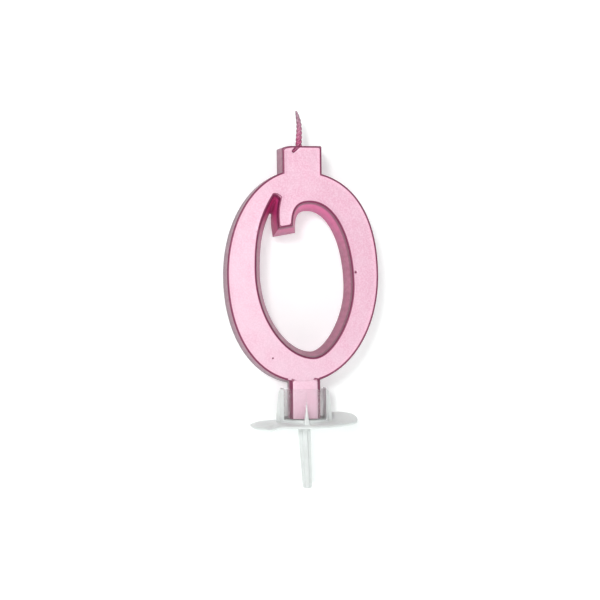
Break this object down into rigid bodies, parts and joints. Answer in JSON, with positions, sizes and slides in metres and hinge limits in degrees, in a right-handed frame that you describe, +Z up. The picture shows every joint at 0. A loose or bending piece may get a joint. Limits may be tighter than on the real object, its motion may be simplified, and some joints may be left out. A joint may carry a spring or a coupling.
{
  "type": "number birthday candle",
  "caption": "Upright numeral-zero birthday candle with a hooked counter and a short wick, standing in a moulded cake pick with a cup, an oval flange and a cross-shaped spike.",
  "frame": {"origin": "centre of the pick flange's underside, where the cake's surface comes", "axes": "+Z up the candle to the wick, front face of the numeral towards -Y, +X to the reader's right"},
  "size_m": [0.0503, 0.0192, 0.1209],
  "materials": {
    "lacquered_wax": "pink pearl lacquer over cast paraffin wax, satin with a soft metallic sheen",
    "waxed_wick": "braided cotton stiffened with wax and tinted by the lacquer",
    "clear_plastic": "translucent natural plastic, smooth, faintly frosted"
  },
  "bodies": {
    "pick": {"holder": "clear_plastic"},
    "candle": {"wax_numeral": "lacquered_wax", "wick": "waxed_wick"}
  },
  "joints": [
    {"name": "candle_lift", "type": "slide", "parent": "pick", "child": "candle", "axis": [0, 0, 1], "range_m": [0, 0.014]}
  ]
}
